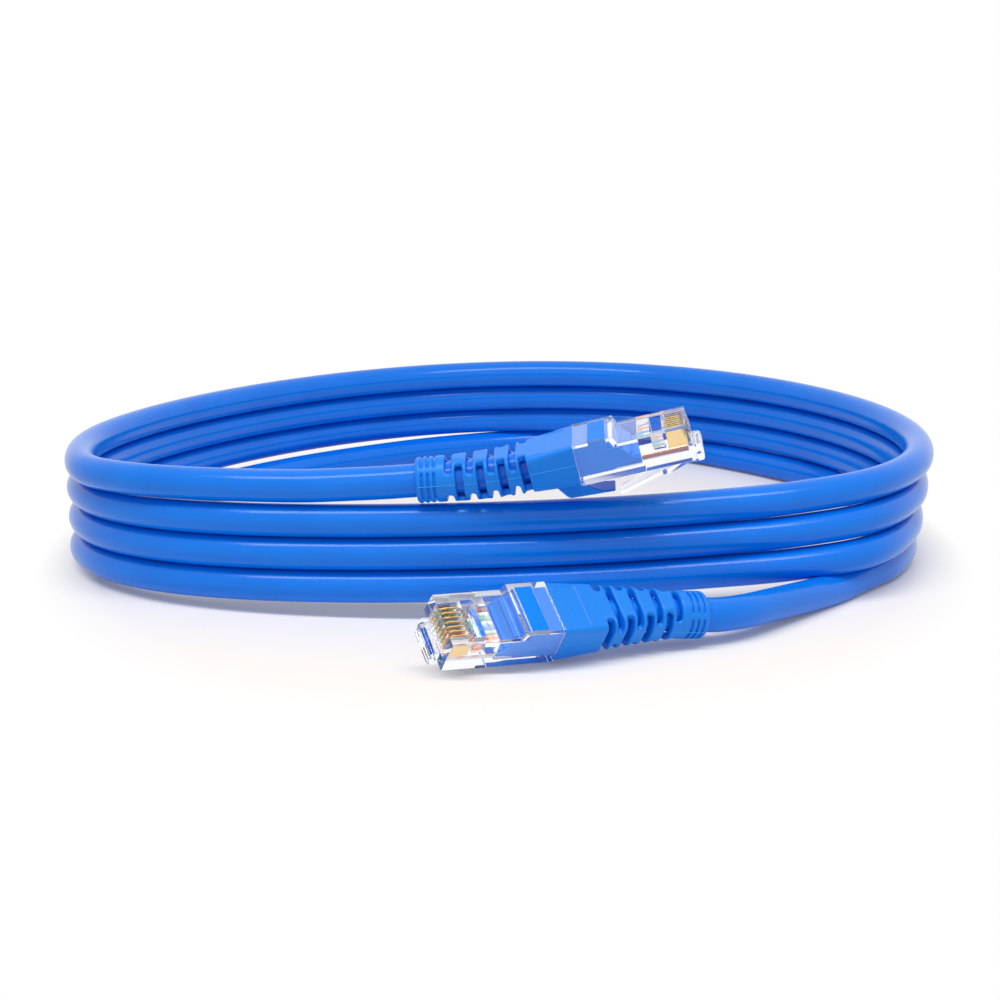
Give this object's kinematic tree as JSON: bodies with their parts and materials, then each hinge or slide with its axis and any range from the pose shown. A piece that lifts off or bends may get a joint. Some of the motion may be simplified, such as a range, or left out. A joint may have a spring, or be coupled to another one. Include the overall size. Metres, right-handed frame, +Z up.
{
  "type": "ethernet patch cable",
  "caption": "Blue round network patch cord with a clear 8P8C plug and moulded snag-guard boot at each end, wound into a stacked coil.",
  "frame": {"origin": "on the table, under the middle of the box that the two plugs fill", "axes": "+Z up; +X to the right seen from the side where both plugs lie; +Y from the plugs towards the coil's back"},
  "size_m": [0.1843, 0.2133, 0.0404],
  "materials": {
    "cord_jacket": "smooth blue jacket with a soft sheen",
    "blue_boot": "moulded blue plastic, satin",
    "blue_insert": "moulded blue plastic",
    "clear_housing": "clear polycarbonate, polished",
    "clear_latch": "clear polycarbonate, polished",
    "gold": "gold-plated phosphor bronze, bright",
    "wire_white_orange": "coloured insulation",
    "wire_orange": "coloured insulation",
    "wire_white_green": "coloured insulation",
    "wire_blue": "coloured insulation",
    "wire_white_blue": "coloured insulation",
    "wire_green": "coloured insulation",
    "wire_white_brown": "coloured insulation",
    "wire_brown": "coloured insulation"
  },
  "bodies": {
    "root": {"cable_lead_a": "cord_jacket", "cable_coil": "cord_jacket", "cable_lead_b": "cord_jacket", "housing_a": "clear_housing", "insert_a": "blue_insert", "boot_a": "blue_boot", "jacket_end_a": "cord_jacket", "housing_b": "clear_housing", "insert_b": "blue_insert", "boot_b": "blue_boot", "jacket_end_b": "cord_jacket", "contact_a1": "gold", "contact_a2": "gold", "contact_a3": "gold", "contact_a4": "gold", "contact_a5": "gold", "contact_a6": "gold", "contact_a7": "gold", "contact_a8": "gold", "contact_b1": "gold", "contact_b2": "gold", "contact_b3": "gold", "contact_b4": "gold", "contact_b5": "gold", "contact_b6": "gold", "contact_b7": "gold", "contact_b8": "gold", "wire_a1": "wire_white_orange", "wire_a2": "wire_orange", "wire_a3": "wire_white_green", "wire_a4": "wire_blue", "wire_a5": "wire_white_blue", "wire_a6": "wire_green", "wire_a7": "wire_white_brown", "wire_a8": "wire_brown", "wire_b1": "wire_white_orange", "wire_b2": "wire_orange", "wire_b3": "wire_white_green", "wire_b4": "wire_blue", "wire_b5": "wire_white_blue", "wire_b6": "wire_green", "wire_b7": "wire_white_brown", "wire_b8": "wire_brown"},
    "latch_a": {"latch_a": "clear_latch"},
    "latch_b": {"latch_b": "clear_latch"}
  },
  "joints": [
    {"name": "latch_a_flex", "type": "hinge", "parent": "root", "child": "latch_a", "pos_m": [-0.02372, -0.01774, 0.00534], "axis": [0.3251, -0.7412, -0.5872], "range_deg": [0, 9.5], "stiffness_Nm_per_rad": 0.3},
    {"name": "latch_b_flex", "type": "hinge", "parent": "root", "child": "latch_b", "pos_m": [0.02587, 0.01744, 0.03334], "axis": [0.0332, 0.9837, 0.1768], "range_deg": [0, 12], "stiffness_Nm_per_rad": 0.3}
  ]
}
